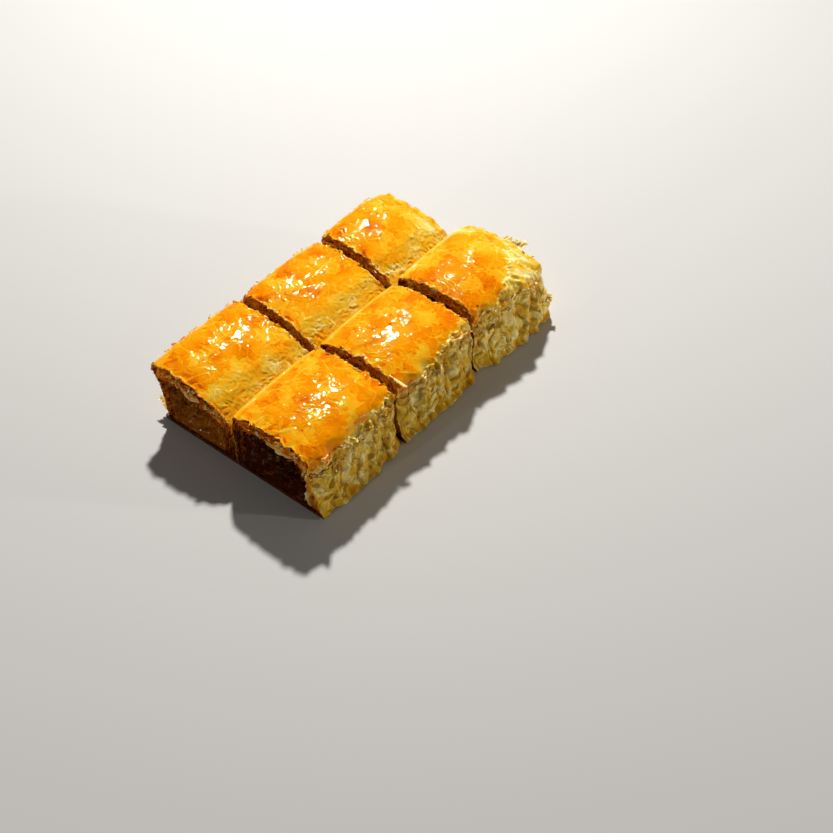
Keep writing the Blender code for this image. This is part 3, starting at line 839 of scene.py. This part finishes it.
def new_group(name, inputs, outputs):
    """An empty shader group: its nodes, the values it is given and the results it feeds."""
    tree = bpy.data.node_groups.new(name, "ShaderNodeTree")
    for label, value in inputs.items():
        socket = tree.interface.new_socket(label, in_out="INPUT", socket_type="NodeSocketFloat")
        socket.default_value = value
    for label in outputs:
        tree.interface.new_socket(label, in_out="OUTPUT", socket_type="NodeSocketFloat")
    nodes = Nodes(tree)
    return nodes, nodes.add("NodeGroupInput").outputs, nodes.add("NodeGroupOutput").inputs


# %% [markdown]
# ### Syrup and crumple
#
# Syrup gathers in pools and leaves dry ridges, so its film is broken by a soft noise. The
# crumple is what is too fine for the mesh: grain, creases of a tenth of a millimetre, the
# strokes of the brush that spread the butter, and small flecks of loose filo.

# %% Two effects that both materials use
syrup, given, result = new_group(
    "Syrup film", {"Wetness": 1, "Pools": 160}, ("Coat", "Roughness")
)
pools = syrup.remap(syrup.noise(syrup.place(), given["Pools"], 2), 0.38, 0.6, to_low=0.9)
film = syrup.math("MULTIPLY", pools, given["Wetness"])
syrup.feed(result, {"Coat": film, "Roughness": syrup.math("MULTIPLY_ADD", film, -0.28, 0.32)})

crumple, given, result = new_group(
    "Crumple", {"Size": 900, "Creases": 130}, ("Grain", "Lines", "Seams", "Brush", "Flecks")
)
spot = crumple.place()
push = crumple.add("ShaderNodeTexNoise", {"Vector": spot, "Scale": 110, "Detail": 1})
shift = crumple.vector("SCALE", {0: push.outputs["Color"], "Scale": 0.006})
bent_spot = crumple.vector("ADD", {0: spot, 1: shift})


def broken_lines(factor, level, width, cover, low, high):
    """Thin lines where a noise crosses this level, on patches of the surface."""
    scale = crumple.math("MULTIPLY", given["Creases"], factor)
    field = crumple.noise(bent_spot, scale, 0.6)
    off = crumple.math("ABSOLUTE", crumple.math("SUBTRACT", field, level))
    line = crumple.remap(off, 0, width, 1, 0)
    return crumple.math("MULTIPLY", line, patches(cover, low, high))


def patches(scale, low, high):
    """Soft patches that cover part of the surface."""
    return crumple.remap(crumple.noise(spot, scale, 1), low, high)


broad = broken_lines(1, 0.5, 0.02, 95, 0.4, 0.5)
close = broken_lines(2.4, 0.45, 0.03, 140, 0.46, 0.56)
stroked = crumple.vector("MULTIPLY", {0: bent_spot, 1: (1, 0.16, 0.16)})
flecks = crumple.noise(bent_spot, crumple.math("MULTIPLY", given["Size"], 0.8), 2, 0.7)
flecks = crumple.remap(flecks, 0.52, 0.62)
crumple.feed(
    result,
    {
        "Grain": crumple.noise(bent_spot, given["Size"], 4, 0.6),
        "Lines": crumple.math("MAXIMUM", broad, close),
        "Seams": broken_lines(1.3, 0.56, 0.03, 70, 0.46, 0.54),
        "Brush": crumple.noise(stroked, 1500, 1),
        "Flecks": crumple.math("MULTIPLY", flecks, patches(230, 0.44, 0.56)),
    },
)
print("groups:", [tree.name for tree in bpy.data.node_groups])

# %% [markdown]
# ### Baked filo
#
# One ramp holds every stage of baking, from raw cream over gold and orange to red-brown. The
# painted browning, which in places also holds painted shade and painted light, picks the
# place on it, and noise moves that place a little, so no two spots match. On a cut face the
# depth drives thin lines, one for each sheet. Where syrup has soaked right through, and where
# shade is painted in creases and at the foot, a dull olive multiplies whatever colour is there.

# %% The filo material
BAKED = (
    (0.00, (0.95, 0.79, 0.32)),
    (0.14, (0.80, 0.52, 0.045)),
    (0.36, (0.86, 0.42, 0.010)),
    (0.54, (0.86, 0.29, 0.001)),
    (0.70, (0.76, 0.17, 0.001)),
    (0.84, (0.42, 0.075, 0.001)),
    (1.00, (0.09, 0.016, 0.001)),
)
SOAK_AND_SHADE_COLOUR = (0.4, 0.31, 0.1)  # dull olive that each colour takes on where syrup soaked in and where shade is painted


def make_filo(name, stops, scatter=0):
    """The material of the pastry: its stages of baking, and how much light goes into it."""
    material, nodes = new_material(name)
    spot = nodes.place()
    folds = nodes.add("ShaderNodeGroup", node_tree=crumple.tree).outputs
    film = nodes.add("ShaderNodeGroup", {"Wetness": nodes.painted("wet")}, node_tree=syrup.tree)
    mottle = nodes.noise(spot, 340, 4, 0.6)
    cloud = nodes.noise(spot, 90, 2)
    sheet = nodes.add(
        "ShaderNodeTexNoise", {"W": nodes.painted("layer"), "Scale": 2.2, "Detail": 2},
        noise_dimensions="1D",
    ).outputs["Fac"]
    lined = nodes.math("MULTIPLY", nodes.math("SUBTRACT", sheet, 0.5), nodes.painted("cut"))
    rough = nodes.painted("rough")
    smooth = nodes.math("SUBTRACT", 1, rough)
    pale = nodes.math("MULTIPLY", folds["Lines"], smooth)
    dark = nodes.math("MULTIPLY", folds["Seams"], smooth)
    brush = nodes.math("MULTIPLY", folds["Brush"], smooth)
    # Flecks of loose filo and ragged seams on crumpled parts are paler: partly their own colour,
    # partly painted glints.
    flecks = nodes.math("MULTIPLY", folds["Flecks"], rough)
    ragged = nodes.math("MULTIPLY", folds["Seams"], rough)
    brown = nodes.total(nodes.painted("brown"), (mottle, 0.1), (cloud, 0.16))
    brown = nodes.total(nodes.math("SUBTRACT", brown, 0.12), (lined, 1.4), (pale, -0.2))
    brown = nodes.total(brown, (dark, 0.1), (flecks, -0.3), (ragged, -0.15))
    soak_and_shade = nodes.math("SUBTRACT", nodes.noise(spot, 520, 3, 0.6), 0.47)
    soak_and_shade = nodes.math("MULTIPLY", soak_and_shade, rough)
    soak_and_shade = nodes.total(nodes.painted("soak_and_shade"), (soak_and_shade, 1.6))
    colour = nodes.add(
        "ShaderNodeMix", {0: soak_and_shade, 6: nodes.ramp(brown, stops), 7: (*SOAK_AND_SHADE_COLOUR, 1)},
        data_type="RGBA", blend_type="MULTIPLY",
    ).outputs[2]
    coarse = nodes.total(nodes.math("ADD", mottle, folds["Grain"]), (flecks, 1.8))
    height = nodes.math("MULTIPLY", coarse, nodes.math("MULTIPLY", rough, 0.6))
    height = nodes.total(height, (pale, 0.25), (dark, -0.4), (brush, 0.12))
    bump = {"Strength": 0.8, "Distance": 0.12 * MM, "Height": height}
    nodes.surface(
        {
            "Base Color": colour,
            "Roughness": film.outputs["Roughness"],
            "Specular IOR Level": 0.16,
            "Specular Tint": (1, 0.92, 0.4, 1),
            "Subsurface Weight": scatter,
            "Subsurface Radius": (1, 1, 1),
            "Subsurface Scale": 0.12 * MM,
            "Normal": nodes.add("ShaderNodeBump", bump).outputs["Normal"],
        }
    )
    return material


filo = make_filo("baked_filo", BAKED)
# The thin sheets take a paler, warmer ramp: painted light, for lamp light that shines through
# them.
THIN_WITH_PAINTED_GLOW = ((0.00, (1, 0.76, 0.36)), (0.14, (0.95, 0.60, 0.14))) + BAKED[2:]
thin_filo = make_filo("thin_filo", THIN_WITH_PAINTED_GLOW, scatter=1)
print("materials:", filo.name, thin_filo.name)

# %% [markdown]
# ### Walnut filling
#
# Ground walnuts soaked in syrup are nearly black between the bits, brown on the kernels, and
# shine in points. Each bit has its own tone, which is painted on the mesh as its browning.

# %% The walnut material
WALNUT = (
    (0.00, (0.66, 0.27, 0.015)),
    (0.35, (0.44, 0.15, 0.006)),
    (0.70, (0.17, 0.040, 0.002)),
    (1.00, (0.04, 0.007, 0.001)),
)
walnut, nodes = new_material("soaked_walnut")
grain = nodes.add("ShaderNodeGroup", {"Size": 1400}, node_tree=crumple.tree).outputs["Grain"]
film = nodes.add(
    "ShaderNodeGroup", {"Pools": 500, "Wetness": nodes.painted("wet")}, node_tree=syrup.tree
).outputs
tone = nodes.total(nodes.painted("brown"), (nodes.noise(nodes.place(), 700), 0.4))
bump = {"Strength": 0.6, "Distance": 0.2 * MM, "Height": grain}
nodes.surface(
    {
        "Base Color": nodes.ramp(nodes.math("SUBTRACT", tone, 0.2), WALNUT),
        "Roughness": film["Roughness"],
        "Coat Weight": film["Coat"],
        "Specular IOR Level": 0,
        "Coat Roughness": 0.12,
        "Normal": nodes.add("ShaderNodeBump", bump).outputs["Normal"],
    }
)
print("material:", walnut.name)

# %% [markdown]
# ## Baking the six squares
#
# Now the skin, the faces and the sheets come together. Flakes are strewn by seeded draws on
# the grid itself, so each is rooted in the surface: along both lips of every cut, on the
# shoulder where the crust ends, and on the frayed sheets of the cut faces.

# %% Strew the flakes and build the pastry
LEAF_THICKNESS, FLAKE_THICKNESS = 0.2 * MM, 0.12 * MM
LEAF_GRID, FLAKE_GRID = (30, 8), (7, 3)  # steps along the root and steps outwards
LEAF_SHEETS = ((1, 0.25), (0.86, 0), (0.7, -0.22))  # share of the reach, and lift in mm


def sheet_paint(brown):
    """The painted values of a thin sheet: dry, smooth and browned this far."""
    return np.array([brown, 0, 0.9, 0, 0.15, 0])


def strew(shape, grid, rows, columns, count, root, out, size, seed, brown):
    """Roots small torn flakes in a part of the grid, round the roll or along it."""
    draw = np.random.default_rng(seed)
    long, wide = np.array(size) * MM
    for k in range(count):
        i = int(draw.integers(*rows))
        j = int(draw.integers(*columns)) % grid.shape[1]
        i, ahead = min(max(i, 1), len(grid) - 2), (j + 4) % grid.shape[1]
        tangent = grid[i + 1, j] - grid[i - 1, j]
        if root == "round":
            tangent = grid[i, ahead] - grid[i, j]
        way = np.array(out) + draw.normal(0, 0.35, 3)
        length, reach = draw.uniform(0.8, 1.6) * long, draw.uniform(0.4, 1) * wide
        foot = grid[i, j] - unit(way) * 0.25 * reach
        tangent = unit(tangent) + draw.normal(0, 0.3, 3)
        curl = draw.uniform(-0.5, 0.5) * reach
        form = (length, reach, curl, FLAKE_THICKNESS)
        sheet = torn_sheet(foot, tangent, way, *form, seed + k, *FLAKE_GRID)
        shape.add(sheet, sheet_paint(brown + draw.uniform(-0.18, 0.18)), caps=True)


def bake(piece):
    """Builds the pastry of one square and everything that is torn from it."""
    shape = Shape()
    grid, paint = skin(piece)
    start, start_paint = cut_face(piece, grid[0], start_face, -1)
    if piece.closed_end:
        closing, closing_paint = tail(piece, grid[-1])
        bottom = tunnel(piece, (piece.end - piece.start) / 2 - TAIL_WALL, 0)[None]
        parts = (closing[::-1], grid[::-1], start, bottom)
        paints = (closing_paint[::-1], paint[::-1], start_paint, start_paint[-1:])
        tips = (closing[-1].mean(0), bottom[0].mean(0))
        shape.add(np.concatenate(parts)[::-1], np.concatenate(paints)[::-1], tips=tips[::-1])
    else:
        end, end_paint = cut_face(piece, grid[-1], end_face, 1)
        parts, paints = (start[::-1], grid, end), (start_paint[::-1], paint, end_paint)
        shape.add(np.concatenate(parts), np.concatenate(paints), close_rows=True)

    for leaf in LEAVES.get((piece.roll, piece.row), ()):
        root = np.array(leaf.root) * MM - (piece.middle, 0, 0)
        for k, (far, lift) in enumerate(LEAF_SHEETS):
            out = np.array(leaf.out) * (1, 1, 0.15 if leaf.frayed else 1)
            out = out + (0, 1.6 * lift if leaf.frayed else 0, 0.3 * lift)
            far = far * (0.7 if leaf.frayed else 0.8) * leaf.reach * MM
            sheet = torn_sheet(
                root + (0, 0, lift * MM), leaf.along, out, leaf.length * MM, far,
                (leaf.curl + 0.4 * lift) * MM, LEAF_THICKNESS, leaf.seed * 10 + k, *LEAF_GRID,
            )
            # Pale tones: partly the sheets' own colour, partly painted light that shines through
            # them.
            shape.add(sheet, sheet_paint(0.04 + 0.07 * k), caps=True)

    last, seed = len(grid) - 1, piece.seed * 10000
    crust, shoulder = (5 * FINER, 19 * FINER), (18 * FINER + 5, 21 * FINER)
    band = {"right": (11 * FINER, 20 * FINER), "left": (5 * FINER, 15 * FINER)}[piece.roll]
    many = {"right": 90, "left": 25}[piece.roll]
    # There or not, grid, rows, columns, count, root, way out, size in mm, seed, browning
    lots = (
        (True, grid, (0, 3), crust, 22, "round", (-0.9, 0, 0.25), (2, 0.9), 0, 0.4),
        (not piece.closed_end, grid, (last - 3, last), crust, 22, "round", (0.9, 0, 0.25),
         (2, 0.9), 1000, 0.4),
        (True, grid, (4, last - 4), shoulder, many, "along", (0, 0.7, 0.6),
         (2.4, 1.4), 2000, 0.06),
        (piece.free_start, start, (8, 17), band, 34, "round", (-0.8, 0, 0.5),
         (2.2, 1.3), 4000, 0),
        (True, start, (4, 22), crust, 40, "round", (-1, 0, 0.1), (4, 0.8), 3000, 0.6),
    )
    for there, place, rows, columns, count, root, out, size, more, brown in lots:
        if there:
            strew(shape, place, rows, columns, count, root, out, size, seed + more, brown)
    return shape.object(f"filo_{piece.roll}_{piece.row}", piece, (filo, thin_filo))


for piece in PIECES:
    pastry = bake(piece)
    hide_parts(f"pastry_{piece.roll}_{piece.row}")
    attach(pastry, "root")
    triangles = sum(len(face.vertices) - 2 for face in pastry.data.polygons)
    print(pastry.name, triangles, "triangles")

# %% [markdown]
# ## The filling
#
# The core is chopped walnut, packed into the roll and cut through with it. A grid of rings
# closes each end, and every point of it takes the height and the slant of the nut bit that
# it lies nearest to, which gives the broken facets of chopped kernels.

# %% Chopped nuts at the cuts
FILLING_RINGS = np.linspace(1, 0.02, 40)
BIT_SIZE = 1.7 * MM


def nut_bits(flat, seed):
    """Height and tone of chopped bits on a plane."""
    draw = np.random.default_rng(seed)
    low, high = flat.reshape(-1, 2).min(0) - BIT_SIZE, flat.reshape(-1, 2).max(0) + BIT_SIZE
    count = int(np.prod(high - low) / BIT_SIZE**2 * 1.3)
    middles = draw.uniform(low, high, (count, 2))
    slants, lifts = draw.normal(0, 0.5, (count, 2)), draw.uniform(-0.4, 0.4, count) * MM
    tones = draw.uniform(0.3, 1, count)
    bent = warped(flat, 0.3 * MM, 2 * MM, seed)
    away = np.linalg.norm(bent[..., None, :] - middles, axis=-1)
    nearest = away.argmin(-1)
    two = np.partition(away, 1, axis=-1)[..., :2]
    split = np.clip((two[..., 1] - two[..., 0]) / (0.5 * MM), 0, 1)
    offset = bent - middles[nearest]
    height = lifts[nearest] + (offset * slants[nearest]).sum(-1) - 0.5 * MM * (1 - split)
    return height, tones[nearest] + 0.35 * (1 - split)


def filling_end(piece, face, outward):
    """Rings of the rough end, from its edge in to its middle."""
    edge = tunnel(piece, 0, FILLING_CLEARANCE)[::2]
    middle = edge.mean(0)
    ring = middle + (edge - middle) * FILLING_RINGS[:, None, None]
    height, tone = nut_bits(ring[..., 1:], piece.seed + 500 + int(outward))
    low = 0.5 * MM * ripple(ring[..., 1:], 6 * MM, piece.seed + 200)
    inside = falls(0.9, 1, FILLING_RINGS)
    stand_out = np.interp(FILLING_RINGS, (0.02, 0.3, 0.66, 1), (-0.7, -0.7, -0.4, -0.4)) * MM
    up = ring[..., 2] / piece.height
    ring[..., 0] = face(piece, up) + outward * stand_out[:, None] * smoothstep(0.05, 0.35, up)
    ring[..., 0] += outward * (height + low) * inside[:, None]
    tone = 0.47 + 0.2 * tone if piece.roll == "left" else tone + 0.45
    return painted_grid(ring, tone, np.where(height > 0.25 * MM, 0.6, 0), 1)


def fill(piece):
    """Builds the filling of one square."""
    shape = Shape()
    start, start_paint = filling_end(piece, start_face, -1)
    if piece.closed_end:
        last = (piece.end - piece.start) / 2 - TAIL_WALL - FILLING_CLEARANCE
        end = tunnel(piece, last, FILLING_CLEARANCE)[None, ::2]
        end_paint = start_paint[:1]
    else:
        end, end_paint = filling_end(piece, end_face, 1)
    rings = np.concatenate([start[::-1], end])
    paint = np.concatenate([start_paint[::-1], end_paint])
    shape.add(rings, paint, tips=(start[-1].mean(0), end[-1].mean(0)))
    return shape.object(f"walnut_{piece.roll}_{piece.row}", piece, (walnut,))


for piece in PIECES:
    core = fill(piece)
    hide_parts(f"filling_{piece.roll}_{piece.row}")
    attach(core, "root")
print("filled", len(PIECES), "squares")

# %% [markdown]
# ## Floor and light
#
# In the photograph a lamp hangs behind the block, high up and opposite the camera. It lights
# the crust from behind, leaves the near sides in shade, and shows as broken white spots on
# the syrup. Two weak lamps, low beside the block and low before its free cut, draw the small
# sparks on the shaded sides, and a dim even sky fills the rest.

# %% Floor, lamps and sky
LAMP_COLOUR = (1, 0.97, 0.93)
LAMPS = (  # name, azimuth, elevation, distance, size and power
    ("key_lamp", 40, 50, 0.9, 0.05, 11.8),
    ("side_lamp", -60, 10, 1, 0.05, 3.2),
    ("front_lamp", 175, 10, 1, 0.04, 1.7),
)

floor_mesh = bpy.data.meshes.new("floor")
floor_mesh.from_pydata([(-3, -3, 0), (3, -3, 0), (3, 3, 0), (-3, 3, 0)], [], [(0, 1, 2, 3)])
floor_paint, nodes = new_material("pale_floor")
nodes.surface({"Base Color": (0.52, 0.52, 0.51, 1), "Roughness": 0.7})
floor_mesh.materials.append(floor_paint)
floor = bpy.data.objects.new("floor", floor_mesh)
bpy.context.scene.collection.objects.link(floor)


def add_lamp(name, azimuth, elevation, distance, size, power):
    """A square lamp that faces the block. Azimuth is measured from +X towards +Y."""
    light = bpy.data.lights.new(name, "AREA")
    light.shape, light.size = "SQUARE", size
    light.energy, light.color = power, LAMP_COLOUR
    lamp = bpy.data.objects.new(name, light)
    turn, rise = math.radians(azimuth), math.radians(elevation)
    level = distance * math.cos(rise)
    lamp.location = (level * math.cos(turn), level * math.sin(turn), distance * math.sin(rise))
    lamp.rotation_euler = (math.radians(90 - elevation), 0, turn + math.radians(90))
    bpy.context.scene.collection.objects.link(lamp)


for lamp in LAMPS:
    add_lamp(*lamp)
world = bpy.data.worlds.new("soft_room")
world.use_nodes = True
sky = world.node_tree.nodes["Background"].inputs
sky["Color"].default_value, sky["Strength"].default_value = (1, 0.96, 0.9, 1), 0.1
bpy.context.scene.world = world
bpy.context.scene.view_settings.view_transform = "Standard"
